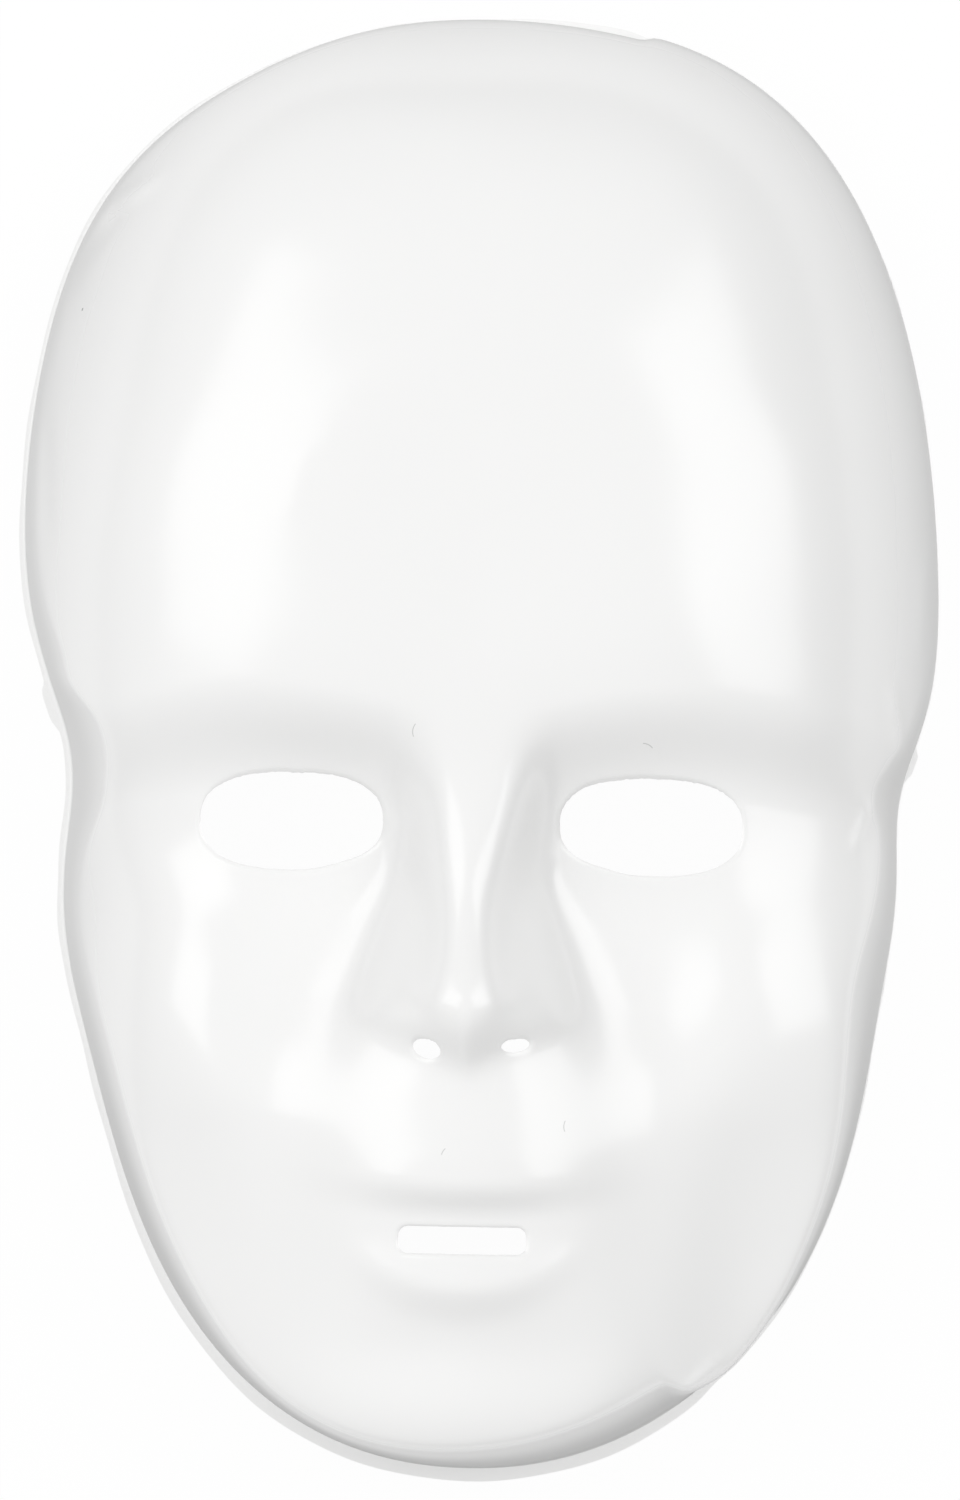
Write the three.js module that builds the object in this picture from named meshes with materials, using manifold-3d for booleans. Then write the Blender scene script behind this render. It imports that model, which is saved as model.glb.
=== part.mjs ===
// A face mask drawn from one thin sheet of glossy plastic, with its eye, nostril and mouth
// openings cut afterwards. It lies face up, with the whole of its narrow flat rim on the table.
// Millimetres. X runs to the viewer's right, Y towards the crown and Z out of the face. Z is 0
// under the rim. The face is worked out as a height over the table, and the sheet's inner side
// is that surface moved inwards by the sheet's thickness.

import * as THREE from 'three';
import { mergeVertices } from 'three/addons/utils/BufferGeometryUtils.js';
import Module from 'manifold-3d';

// The sheet
const SHEET = 0.6;
const PLASTIC = { color: 0xf2f2f0, roughness: 0.22, metalness: 0 };

// The rim is an oval, squarer at the crown than at the jaw. It leaves that oval at the places
// listed: depth in millimetres, centre and spread in degrees counter-clockwise from +X.
const OVAL = { halfWidth: 81.2, halfLength: 128.1, crownPower: 2.96, jawPower: 2.17, change: 0.35 };
const RIM_FEATURES = {
  leftTemple: { depth: -8.9, centre: 183.6, spread: 17.5 },
  rightTemple: { depth: -4.8, centre: -6.2, spread: 11.6 },
  leftJaw: { depth: -8.6, centre: 221.7, spread: 26.4 },
  rightJaw: { depth: -5.8, centre: -29.9, spread: 21.6 },
  rightCrown: { depth: -2.1, centre: 61.1, spread: 24.0 },
  leftCrown: { depth: -4.7, centre: 110.7, spread: 13.4 },
};

// The small lugs left on the rim at the temples, by the middle of each along the rim
const LUGS = [
  { centre: 175.6, length: 7.5, out: 1.4 },
  { centre: -1.2, length: 5, out: 1 },
];

// The flat rim and the steep wall that joins it to the face. The run is how far the wall moves
// inwards for each millimetre of height. The edge is how rounded the wall's top is.
const RIM = { width: 0.5, moreAtChin: 1.8, moreAtLeft: 0.7, bend: 0.8 };
const WALL = { run: 0.05, moreAtChin: 0.035, moreAtLeft: 0.07, moreAtCrown: 0.02 };
const WALL_EDGE = { round: 3, rounderJaw: { by: 3, from: 10, to: -70 }, fullAt: 8 };

// The plain dome under the features: its height, its reach to each side, to the crown and to
// the chin, and how square it is. A power of 2 is an ellipse. Here and below, what changes
// along the face changes by an amount, from one place to another.
const DOME = {
  top: 62,
  halfWidth: 81,
  leftCheek: { by: -7, from: 0, to: -30 },
  rightCheek: { by: 6, from: 0, to: -30 },
  jaw: { by: 3, from: -30, to: -130 },
  crown: { reach: 130, power: 2.85 },
  chin: { reach: 145, power: 5 },
  power: 2.7,
  squarerBrow: { by: 1.5, from: 82, to: 15 },
  squarerCrown: { by: 0.1, from: 75, to: 125 },
  least: 0.0004,
};

// Features of the face: how far each stands out, where it is and how far it reaches
const ARCH = { rise: 6, centre: 36, span: 30, spread: 60 };
const BROW = { height: 3.5, y: 16, spread: 19, reach: 50 };
const SOCKET = {
  depth: 7.5,
  side: { by: 1, from: 4, to: 15 },
  top: { by: 1, from: 11, to: -8 },
  y: -12,
  spread: 24,
  cheek: { more: 22, x: 28, half: 12 },
};
const CHEEK = {
  left: { height: 3.2, x: -42, half: 26 },
  right: { height: 1.6, x: 52, half: 32 },
  y: -44,
  tall: 20,
};
const BESIDE_NOSE = {
  depth: 2.4,
  x: 13,
  half: 11,
  flare: 0.4,
  flareFrom: -12,
  flareRound: 3,
  top: { by: 1, from: -4, to: -30 },
  bottom: { by: 1, from: -80, to: -46 },
};
const UNDER_CHEEK = {
  left: { x: -47, depth: 5 },
  right: { x: 50, depth: 8 },
  half: 20,
  fall: { by: 1, from: -40, to: -88 },
};
const MUZZLE = {
  swell: { by: 9.8, from: -19, to: -73 },
  reach: 24,
  wider: { by: 7, from: -38, to: -64 },
  power: 2.3,
};

// Under the muzzle the lip rises a little and then steps down along a bowed line. The lower lip
// is a wedge that ends in a round drop.
const LIP_STEP = {
  lift: { by: 1, from: -58, to: -75 },
  depth: 2.8,
  y: -75.2,
  half: 3.4,
  bow: 0.003,
  bowReach: 34,
  reach: 20,
  power: 3,
};
const LOWER_LIP = {
  y: -81.3,
  start: 0.8,
  climb: 0.33,
  fade: 0.4,
  halfWidth: 20.5,
  halfHeight: 14.5,
  drop: 7.2,
  round: 1,
};
const LIP_FOLD = { depth: 1.4, y: -102, half: 7.5, reach: 22 };
const CHIN = { height: 5.5, y: -119, half: 18, reach: 58 };

// The nose. The ridge falls slowly along the bridge, climbs to the tip and turns under it. The
// lines are heights along Y, and the round values say how wide the bends between them are.
const NOSE = {
  centre: -0.4,
  lean: { by: 2, from: -25, to: 0 },
  crest: 1,
  bridge: { y: -1, z: 64.2, slope: -0.13, round: 3 },
  climb: { y: -22, z: 66.8, slope: -0.5 },
  under: { y: -44, z: 76.8, slope: 1.05, round: 3.5 },
  browDrop: { slope: 0.9, y: 4, round: 5 },
  ridgeHalf: 3.3,
  browFlare: { by: 4.5, from: -28, to: 6 },
  tipFlare: { by: 1.6, y: -42, half: 7 },
  sideSlope: 1.75,
  ridgeRound: 2.4,
  fillet: 3.2,
};
const WING = {
  climb: { y: -43, z: 71.6, slope: -0.66 },
  under: { y: -48, z: 70, slope: 0.95, round: 5 },
  start: 10,
  slope: 0.6,
  outerSlope: 1.8,
  outerRound: 4,
  blend: 1.8,
  foot: { x: 11.6, flare: 0.17, top: -14, round: 3 },
};

// The openings, as they show from straight above
const EYE = {
  x: 30.2,
  y: -12.8,
  halfWidth: 15.4,
  halfHeight: 8.15,
  power: 2.5,
  innerCut: { share: 0.07, below: 38, spread: 22 },
  corners: 28,
};
const NOSTRILS = [
  { x: -6.7, y: -50.1, halfWidth: 2.4, halfHeight: 1.55, tilt: -20 },
  { x: 8, y: -49.3, halfWidth: 2.35, halfHeight: 1.1, tilt: 8 },
];
const NOSTRIL_CORNERS = 10;
const MOUTH = { x: -0.2, y: -81.9, width: 21.3, height: 4.5, corner: 1.6 };
const PUNCH = { from: 15, to: 95 };

// How finely the surface is divided. Each spoke runs from the rim to the hub, under the nose.
const GRID = { spokes: 76, faceRings: 23, crowding: 1.25, hub: { x: 0, y: -42 } };
const WALL_RINGS = { beforeBend: 0.1, aroundTop: [-0.5, 0.8, 2.5] };
const WALL_SEARCH = { reach: 25, halvings: 30 };

const TURN = 2 * Math.PI;

const radians = (degrees) => (degrees * Math.PI) / 180;
const clamp = (value) => Math.min(1, Math.max(0, value));

// 0 before from, 1 beyond to, and smooth between. It may run either way.
function rise(x, from, to) {
  const t = clamp((x - from) / (to - from));
  return t * t * (3 - 2 * t);
}

const change = (x, { by, from, to }) => by * rise(x, from, to);

// A smooth bump of height 1 at 0, and one with a flatter top and steeper sides
const bell = (x, half) => Math.exp(-((x / half) ** 2));
const plateau = (x, half, power = 4) => Math.exp(-(Math.abs(x / half) ** power));

// The larger or smaller of two heights, with the crease between them rounded off
const softMax = (a, b, round) => (a + b + Math.hypot(a - b, round)) / 2;
const softMin = (a, b, round) => (a + b - Math.hypot(a - b, round)) / 2;

// 0 below 0, then a bend, then a slope of 1
function ramp(x, bend) {
  const t = Math.min(Math.max(x, 0), bend);
  return (t * t) / (2 * bend) + Math.max(x - bend, 0);
}

const along = (line, y) => line.z + line.slope * (y - line.y);

// How far apart two directions are, in degrees, with the angle given in radians
function degreesFrom(angle, centre) {
  return THREE.MathUtils.euclideanModulo((angle * 180) / Math.PI - centre + 180, 360) - 180;
}

// The rim's distance from the centre in a direction given in radians
function rimRadius(angle) {
  const across = Math.abs(Math.cos(angle)) / OVAL.halfWidth;
  const lengthwise = Math.abs(Math.sin(angle)) / OVAL.halfLength;
  const crown = rise(Math.sin(angle), -OVAL.change, OVAL.change);
  const power = OVAL.jawPower + (OVAL.crownPower - OVAL.jawPower) * crown;
  let radius = (across ** power + lengthwise ** power) ** (-1 / power);
  for (const { depth, centre, spread } of Object.values(RIM_FEATURES)) {
    radius += depth * bell(degreesFrom(angle, centre), spread);
  }
  return radius;
}

// How much a direction points to the chin, the crown and the left, each from 0 to 1
function facing(angle) {
  return {
    chin: clamp(-Math.sin(angle)),
    crown: clamp(Math.sin(angle)),
    left: clamp(-Math.cos(angle)),
  };
}

function rimWidth(angle) {
  const { chin, left } = facing(angle);
  return RIM.width + RIM.moreAtChin * chin ** 4 + RIM.moreAtLeft * left;
}

// The flat rim, then the steep wall, by distance inwards from the rim's edge
function wallHeight(angle, inwards) {
  const { chin, crown, left } = facing(angle);
  const more = WALL.moreAtChin * chin ** 2 + WALL.moreAtLeft * left ** 2 + WALL.moreAtCrown * crown ** 2;
  return SHEET + ramp(inwards - rimWidth(angle), RIM.bend) / (WALL.run + more);
}

function domeHeight(x, y) {
  const power = DOME.power + change(y, DOME.squarerBrow) + change(y, DOME.squarerCrown);
  const cheek = change(y, x < 0 ? DOME.leftCheek : DOME.rightCheek);
  const end = y > 0 ? DOME.crown : DOME.chin;
  const across = Math.abs(x / (DOME.halfWidth + cheek + change(y, DOME.jaw))) ** power;
  const lengthwise = Math.abs(y / end.reach) ** end.power;
  return DOME.top * Math.sqrt(Math.max(1 - across - lengthwise, DOME.least));
}

// Brow and eye sockets share one arched line
function browAndSockets(x, y) {
  const aside = Math.abs(x);
  const fromArch = aside - ARCH.centre;
  const arched = y + ARCH.rise * bell(fromArch, ARCH.spread) * (fromArch / ARCH.span) ** 2;
  const brow = BROW.height * bell(arched - BROW.y, BROW.spread) * plateau(aside, BROW.reach);
  const spread = SOCKET.spread + SOCKET.cheek.more * bell(aside - SOCKET.cheek.x, SOCKET.cheek.half);
  const below = bell(Math.min(y - SOCKET.y, 0), spread);
  return brow - SOCKET.depth * change(aside, SOCKET.side) * change(arched, SOCKET.top) * below;
}

// The cheekbones, the slope beside the nose and the hollows under the cheeks
function cheeks(x, y) {
  const across = [CHEEK.left, CHEEK.right].map((bone) => bone.height * bell(x - bone.x, bone.half));
  const bones = (across[0] + across[1]) * bell(y - CHEEK.y, CHEEK.tall);
  const out = softMax(BESIDE_NOSE.flareFrom - y, 0, BESIDE_NOSE.flareRound);
  const valley = bell(Math.abs(x) - BESIDE_NOSE.x - BESIDE_NOSE.flare * out, BESIDE_NOSE.half);
  const inner = BESIDE_NOSE.depth * valley * change(y, BESIDE_NOSE.top) * change(y, BESIDE_NOSE.bottom);
  const { left, right, half, fall } = UNDER_CHEEK;
  const hollows = left.depth * bell(x - left.x, half) + right.depth * bell(x - right.x, half);
  return bones - inner - hollows * change(y, fall);
}

// The part of the lower face that stands out around the mouth
function muzzle(x, y) {
  return change(y, MUZZLE.swell) * plateau(x, MUZZLE.reach + change(y, MUZZLE.wider), MUZZLE.power);
}

function lipStep(x, y) {
  const at = LIP_STEP.y + LIP_STEP.bow * Math.min(Math.abs(x), LIP_STEP.bowReach) ** 2;
  const down = LIP_STEP.depth * rise(y, at + LIP_STEP.half, at - LIP_STEP.half);
  return (change(y, LIP_STEP.lift) - down) * plateau(x, LIP_STEP.reach, LIP_STEP.power);
}

// The lower lip, the fold under it and the chin
function lipAndChin(x, y) {
  const aside = x / LOWER_LIP.halfWidth;
  const below = softMax(LOWER_LIP.y - y, 0, LOWER_LIP.start);
  const wedge = LOWER_LIP.climb * below * (1 - LOWER_LIP.fade * aside ** 2);
  const drop = LOWER_LIP.drop * (1 - Math.hypot(aside, (y - LOWER_LIP.y) / LOWER_LIP.halfHeight));
  const lip = softMax(softMin(wedge, drop, LOWER_LIP.round), 0, LOWER_LIP.round);
  const fold = LIP_FOLD.depth * bell(y - LIP_FOLD.y, LIP_FOLD.half) * plateau(x, LIP_FOLD.reach);
  const chin = CHIN.height * bell(Math.max(y - CHIN.y, 0), CHIN.half) * bell(x, CHIN.reach);
  return lip - fold + chin;
}

// The ridge of the nose with its sloping sides
function ridgeHeight(aside, y) {
  const climb = softMax(along(NOSE.bridge, y), along(NOSE.climb, y), NOSE.bridge.round);
  const drop = NOSE.browDrop.slope * softMax(y - NOSE.browDrop.y, 0, NOSE.browDrop.round);
  const ridge = softMin(climb, along(NOSE.under, y), NOSE.under.round) - drop;
  const tip = NOSE.tipFlare.by * bell(y - NOSE.tipFlare.y, NOSE.tipFlare.half);
  const half = NOSE.ridgeHalf + change(y, NOSE.browFlare) + tip;
  return ridge - NOSE.sideSlope * softMax(aside - half, 0, NOSE.ridgeRound);
}

// The lower shoulder on each side of the nose
function wingHeight(aside, y) {
  const shoulder = softMin(along(WING.climb, y), along(WING.under, y), WING.under.round);
  const foot = WING.foot.x + WING.foot.flare * softMax(WING.foot.top - y, 0, WING.foot.round);
  const beyond = softMax(aside - foot, 0, WING.outerRound);
  return shoulder - WING.slope * (aside - WING.start) - WING.outerSlope * beyond;
}

function noseHeight(x, y) {
  const aside = Math.hypot(x - NOSE.centre - change(y, NOSE.lean), NOSE.crest);
  return softMax(ridgeHeight(aside, y), wingHeight(aside, y), WING.blend);
}

function faceHeight(x, y) {
  const upper = browAndSockets(x, y) + cheeks(x, y);
  const lower = muzzle(x, y) + lipStep(x, y) + lipAndChin(x, y);
  return softMax(domeHeight(x, y) + upper + lower, noseHeight(x, y), NOSE.fillet);
}

// The outer side of the sheet
function outerHeight(x, y) {
  const angle = Math.atan2(y, x);
  const wall = wallHeight(angle, rimRadius(angle) - Math.hypot(x, y));
  const most = WALL_EDGE.round + change(y, WALL_EDGE.rounderJaw);
  const round = most * clamp((wall - SHEET) / WALL_EDGE.fullAt);
  return softMin(faceHeight(x, y), wall, round);
}

function outerNormal(x, y) {
  const step = 0.02;
  const slopeX = (outerHeight(x + step, y) - outerHeight(x - step, y)) / (2 * step);
  const slopeY = (outerHeight(x, y + step) - outerHeight(x, y - step)) / (2 * step);
  return new THREE.Vector3(-slopeX, -slopeY, 1).normalize();
}

const onRadius = (angle, inwards) => {
  const radius = rimRadius(angle) - inwards;
  return new THREE.Vector2(radius * Math.cos(angle), radius * Math.sin(angle));
};

// The distance inwards at which the wall reaches the face, found by halving
function wallTop(angle) {
  let low = rimWidth(angle);
  let high = low + WALL_SEARCH.reach;
  for (let i = 0; i < WALL_SEARCH.halvings; i += 1) {
    const middle = (low + high) / 2;
    const { x, y } = onRadius(angle, middle);
    if (wallHeight(angle, middle) < faceHeight(x, y)) {
      low = middle;
    } else {
      high = middle;
    }
  }
  return low;
}

// One spoke's points from the rim's edge inwards: flat rim, bend, wall, rounded top, then face
function spokePoints(angle) {
  const foot = rimWidth(angle);
  const top = wallTop(angle);
  const flatRim = [0, foot - WALL_RINGS.beforeBend];
  const wall = [foot + RIM.bend, (foot + top) / 2, ...WALL_RINGS.aroundTop.map((past) => top + past)];
  const points = [...flatRim, ...wall].map((inwards) => onRadius(angle, inwards));
  const start = points[points.length - 1];
  const hub = new THREE.Vector2(GRID.hub.x, GRID.hub.y);
  for (let ring = GRID.faceRings - 1; ring >= 1; ring -= 1) {
    points.push(hub.clone().lerp(start, (ring / GRID.faceRings) ** GRID.crowding));
  }
  return points;
}

// The sheet as one closed mesh: outer skin, inner skin and the strip that joins them at the edge
function sheetGeometry() {
  const spokes = Array.from({ length: GRID.spokes }, (_, i) => spokePoints((i * TURN) / GRID.spokes));
  const rings = spokes[0].length;
  const outer = [];
  const inner = [];
  const addPoint = ({ x, y }) => {
    const point = new THREE.Vector3(x, y, outerHeight(x, y));
    outer.push(point);
    inner.push(point.clone().addScaledVector(outerNormal(x, y), -SHEET));
  };
  spokes.forEach((points) => points.forEach(addPoint));
  addPoint(GRID.hub);

  const count = outer.length;
  const hub = count - 1;
  const triangles = [];
  const addBoth = (a, b, c) => {
    triangles.push(a, b, c);
    triangles.push(a + count, c + count, b + count);
  };
  // A square of the grid is split along its shorter diagonal
  const addSquare = (a, b, c, d) => {
    if (outer[a].distanceTo(outer[c]) < outer[b].distanceTo(outer[d])) {
      addBoth(a, b, c);
      addBoth(a, c, d);
    } else {
      addBoth(a, b, d);
      addBoth(b, c, d);
    }
  };
  for (let i = 0; i < GRID.spokes; i += 1) {
    const here = i * rings;
    const next = ((i + 1) % GRID.spokes) * rings;
    for (let ring = 0; ring < rings - 1; ring += 1) {
      addSquare(here + ring, next + ring, next + ring + 1, here + ring + 1);
    }
    addBoth(here + rings - 1, next + rings - 1, hub);
    triangles.push(here + count, next + count, next);
    triangles.push(here + count, next, here);
  }
  const geometry = new THREE.BufferGeometry().setFromPoints([...outer, ...inner]);
  geometry.setIndex(triangles);
  return geometry;
}

// A lug is a low tongue of the flat rim. Its outline follows the rim with a smooth swell.
function lugGeometry({ centre, length, out }) {
  const middle = radians(centre);
  const half = length / 2 / rimRadius(middle);
  const steps = 8;
  const swell = Array.from({ length: steps + 1 }, (_, i) => {
    const share = (2 * i) / steps - 1;
    return onRadius(middle + share * half, -out * (1 - share ** 4));
  });
  const inside = [onRadius(middle + half, RIM.width), onRadius(middle - half, RIM.width)];
  const shape = new THREE.Shape([...swell, ...inside]);
  return new THREE.ExtrudeGeometry(shape, { depth: SHEET, bevelEnabled: false });
}

// A straight punch through the sheet, from an outline seen from above
function punch(shape) {
  const depth = PUNCH.to - PUNCH.from;
  const geometry = new THREE.ExtrudeGeometry(shape, { depth, bevelEnabled: false, curveSegments: 4 });
  return geometry.translate(0, 0, PUNCH.from);
}

// An eye is a flattened oval whose lower inner corner is cut a little tighter
function eyeShape(side) {
  const corner = side < 0 ? -EYE.innerCut.below : 180 + EYE.innerCut.below;
  const points = Array.from({ length: EYE.corners }, (_, i) => {
    const angle = (i * TURN) / EYE.corners;
    const across = Math.abs(Math.cos(angle)) / EYE.halfWidth;
    const upright = Math.abs(Math.sin(angle)) / EYE.halfHeight;
    const oval = (across ** EYE.power + upright ** EYE.power) ** (-1 / EYE.power);
    const radius = oval * (1 - EYE.innerCut.share * bell(degreesFrom(angle, corner), EYE.innerCut.spread));
    return new THREE.Vector2(side * EYE.x + radius * Math.cos(angle), EYE.y + radius * Math.sin(angle));
  });
  return new THREE.Shape(points);
}

function nostrilShape({ x, y, halfWidth, halfHeight, tilt }) {
  const points = Array.from({ length: NOSTRIL_CORNERS }, (_, i) => {
    const angle = (i * TURN) / NOSTRIL_CORNERS;
    const point = new THREE.Vector2(halfWidth * Math.cos(angle), halfHeight * Math.sin(angle));
    return point.rotateAround(new THREE.Vector2(), radians(tilt)).add(new THREE.Vector2(x, y));
  });
  return new THREE.Shape(points);
}

function mouthShape() {
  const left = MOUTH.x - MOUTH.width / 2;
  const right = MOUTH.x + MOUTH.width / 2;
  const low = MOUTH.y - MOUTH.height / 2;
  const high = MOUTH.y + MOUTH.height / 2;
  const r = MOUTH.corner;
  const shape = new THREE.Shape();
  shape.absarc(right - r, low + r, r, -TURN / 4, 0, false);
  shape.absarc(right - r, high - r, r, 0, TURN / 4, false);
  shape.absarc(left + r, high - r, r, TURN / 4, TURN / 2, false);
  shape.absarc(left + r, low + r, r, TURN / 2, (3 * TURN) / 4, false);
  return shape;
}

const wasm = await Module();
wasm.setup();

function toSolid(geometry) {
  const bare = geometry.clone();
  bare.deleteAttribute('normal');
  bare.deleteAttribute('uv');
  const merged = mergeVertices(bare, 1e-5);
  const mesh = new wasm.Mesh({
    numProp: 3,
    vertProperties: new Float32Array(merged.attributes.position.array),
    triVerts: new Uint32Array(merged.index.array),
  });
  return new wasm.Manifold(mesh);
}

function toGeometry(solid) {
  const { vertProperties, triVerts } = solid.getMesh();
  const geometry = new THREE.BufferGeometry();
  geometry.setAttribute('position', new THREE.BufferAttribute(vertProperties, 3));
  geometry.setIndex(new THREE.BufferAttribute(triVerts, 1));
  return geometry;
}

function maskShell() {
  const lugs = LUGS.map((lug) => toSolid(lugGeometry(lug)));
  const sheet = lugs.reduce((whole, lug) => whole.add(lug), toSolid(sheetGeometry()));
  const openings = [eyeShape(-1), eyeShape(1), ...NOSTRILS.map(nostrilShape), mouthShape()];
  const shell = openings.reduce((whole, shape) => whole.subtract(toSolid(punch(shape))), sheet);
  const geometry = toGeometry(shell);
  geometry.computeBoundingBox();
  const centre = geometry.boundingBox.getCenter(new THREE.Vector3());
  geometry.translate(-centre.x, -centre.y, 0);
  geometry.computeVertexNormals();
  const mesh = new THREE.Mesh(geometry, new THREE.MeshStandardMaterial(PLASTIC));
  mesh.name = 'mask_shell';
  return mesh;
}

const mask = new THREE.Group();
mask.add(maskShell());

export default mask;
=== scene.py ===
# %% [markdown]
# A blank face mask, drawn from one sheet of glossy white plastic.
#
# The real thing starts as a flat sheet. It is warmed, sucked down over a block in the shape of a
# face, and trimmed with a blade, which leaves a narrow flat rim. The eye, nostril and mouth
# openings are punched last. So this whole lesson makes one piece, and what makes it look real is
# a good form, a true thickness, and the small faults of drawing and trimming.

import math

import bpy
import numpy as np
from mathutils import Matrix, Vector, geometry


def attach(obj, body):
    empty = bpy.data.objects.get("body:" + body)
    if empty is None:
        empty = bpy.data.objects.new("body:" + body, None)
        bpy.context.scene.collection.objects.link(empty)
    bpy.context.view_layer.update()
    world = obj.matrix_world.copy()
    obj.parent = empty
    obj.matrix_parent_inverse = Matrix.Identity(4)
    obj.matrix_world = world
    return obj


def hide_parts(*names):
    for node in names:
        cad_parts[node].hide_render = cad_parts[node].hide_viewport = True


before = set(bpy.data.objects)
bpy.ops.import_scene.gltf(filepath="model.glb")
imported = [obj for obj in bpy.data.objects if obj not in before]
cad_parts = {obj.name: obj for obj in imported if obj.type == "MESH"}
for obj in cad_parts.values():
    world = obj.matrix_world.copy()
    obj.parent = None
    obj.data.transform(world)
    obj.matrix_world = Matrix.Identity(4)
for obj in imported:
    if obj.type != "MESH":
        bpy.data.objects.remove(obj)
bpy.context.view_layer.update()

# %% [markdown]
# The form is worked out as a height over the table for each point (x, y) of the face, in
# millimetres, with x to the viewer's right and y to the crown. Smooth bumps and blends are all
# that a pressed sheet needs, because it can't hold a sharp inner corner. The functions below
# take whole arrays, so that thousands of points are worked out at once.

# %% Bumps, steps and blends
MM = 0.001
SHEET = 0.6


def rise(x, start, end):
    """0 before start, 1 beyond end, smooth between. It may run either way."""
    t = np.clip((x - start) / (end - start), 0, 1)
    return t * t * (3 - 2 * t)


def bell(x, half):
    """A smooth bump, 1 at 0."""
    return np.exp(-((x / half) ** 2))


def plateau(x, half, power=4.0):
    """A bump with a flatter top and steeper sides."""
    return np.exp(-(np.abs(x / half) ** power))


def soft_max(a, b, rounding):
    return (a + b + np.hypot(a - b, rounding)) / 2


def soft_min(a, b, rounding):
    return (a + b - np.hypot(a - b, rounding)) / 2


def ramp(x, bend):
    """0 below 0, a slope of 1 beyond the bend."""
    t = np.clip(x, 0, bend)
    return t * t / (2 * bend) + np.maximum(x - bend, 0)


def degrees_from(angle, centre):
    """How far a direction in radians is from a centre in degrees."""
    return (np.degrees(angle) - centre + 180) % 360 - 180


bump = bell(np.array([0.0, 1.0, 3.0]), 1.0)
print("a bump at its middle, at its half width and beyond:", bump.round(3))

# %% [markdown]
# The rim is an oval, squarer at the crown than at the jaw. A blade held by hand doesn't follow
# the oval exactly, and the sheet was wider in some places than in others, so a few broad
# features take the rim in or out. They are the same on the solid, which keeps the two in step.

# %% The rim's outline
HALF_WIDTH, HALF_LENGTH = 81.2, 128.1
CROWN_POWER, JAW_POWER = 2.96, 2.17
RIM_FEATURES = {
    "left temple": (-8.9, 183.6, 17.5),
    "right temple": (-4.8, -6.2, 11.6),
    "left jaw": (-8.6, 221.7, 26.4),
    "right jaw": (-5.8, -29.9, 21.6),
    "right crown": (-2.1, 61.1, 24.0),
    "left crown": (-4.7, 110.7, 13.4),
}


def rim_radius(angle):
    """The rim's distance from the centre, before the small faults of trimming."""
    across, lengthwise = np.abs(np.cos(angle)), np.abs(np.sin(angle))
    power = JAW_POWER + (CROWN_POWER - JAW_POWER) * rise(np.sin(angle), -0.35, 0.35)
    radius = ((across / HALF_WIDTH) ** power + (lengthwise / HALF_LENGTH) ** power) ** (-1 / power)
    for depth, centre, spread in RIM_FEATURES.values():
        radius = radius + depth * bell(degrees_from(angle, centre), spread)
    return radius


round_about = np.linspace(0, 2 * np.pi, 3600, endpoint=False)
outline = np.stack([np.cos(round_about), np.sin(round_about)]) * rim_radius(round_about)
MIDDLE = (outline.max(axis=1) + outline.min(axis=1)) / 2
across_and_along = outline.max(axis=1) - outline.min(axis=1)
print("outline:", across_and_along.round(1), "mm, middle at", MIDDLE.round(3))

# %% [markdown]
# Inside the rim a steep wall joins it to the face. It rises about ten times as fast as it runs
# inwards, so it is seen as a thin dark band from above. The band isn't even on the real mask: the
# warm sheet bridged some corners in a web and gathered in a pleat at the lower right. Each of
# those is a short stretch, given by its direction, where the wall runs wider or narrower.
#
# The flat rim is broad under the chin, narrow at the right, and curls outwards at the crown.

# %% The flat rim and the wall
RIM_WIDTH, WIDER_AT_CHIN, WIDER_AT_LEFT = 0.2, 2.1, 1.0
PLEAT_AT, KEPT_PAST_PLEAT = -66, 0.15
CURL_WIDTH, CURL_AT = 1.1, 77.8
BEND, GENTLER_BEND = 0.3, 0.5
# How far the wall runs inwards for each millimetre it climbs, and how much further on each side
WALL_RUN = 0.05
MORE_AT_CHIN, MORE_AT_LEFT, MORE_AT_CROWN, MORE_AT_RIGHT = 0.035, 0.07, 0.02, 0.05


def facing(angle):
    """How far a direction points to the chin, the crown and the left, from 0 to 1."""
    chin = np.clip(-np.sin(angle), 0, 1)
    crown = np.clip(np.sin(angle), 0, 1)
    left = np.clip(-np.cos(angle), 0, 1)
    return chin, crown, left


# Each pleat: how much wider the wall runs, its middle, and how far it reaches before and after
WALL_PLEATS = {
    "lower right pleat": (0.062, -72.5, 20.0, 1.5),
    "beside the pleat": (-0.045, -66, 4.0, 6.0),
    "left jaw": (0.04, 241, 22.0, 11.0),
    "left temple": (0.045, 182, 14.0, 14.0),
    "right cheek": (0.045, -31, 13.0, 13.0),
    "left cheek web": (0.015, 190, 4.0, 4.0),
    "right temple web": (0.05, -5, 4.5, 4.5),
    "left temple web": (-0.03, 172, 3.0, 3.0),
}


def flat_width(angle):
    """The width of the flat rim in each direction."""
    chin, _, left = facing(angle)
    past_pleat = rise(degrees_from(angle, PLEAT_AT), 0, 8)
    past_curl = degrees_from(angle, CURL_AT)
    curl = CURL_WIDTH * bell(past_curl, np.where(past_curl < 0, 0.8, 9))
    flange = WIDER_AT_CHIN * chin**4 * (1 - (1 - KEPT_PAST_PLEAT) * past_pleat)
    return RIM_WIDTH + flange + WIDER_AT_LEFT * left + curl


def rim_bend(angle):
    """How gently the rim turns up into the wall."""
    chin, _, left = facing(angle)
    return BEND + GENTLER_BEND * np.maximum(chin**2, left)


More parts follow.
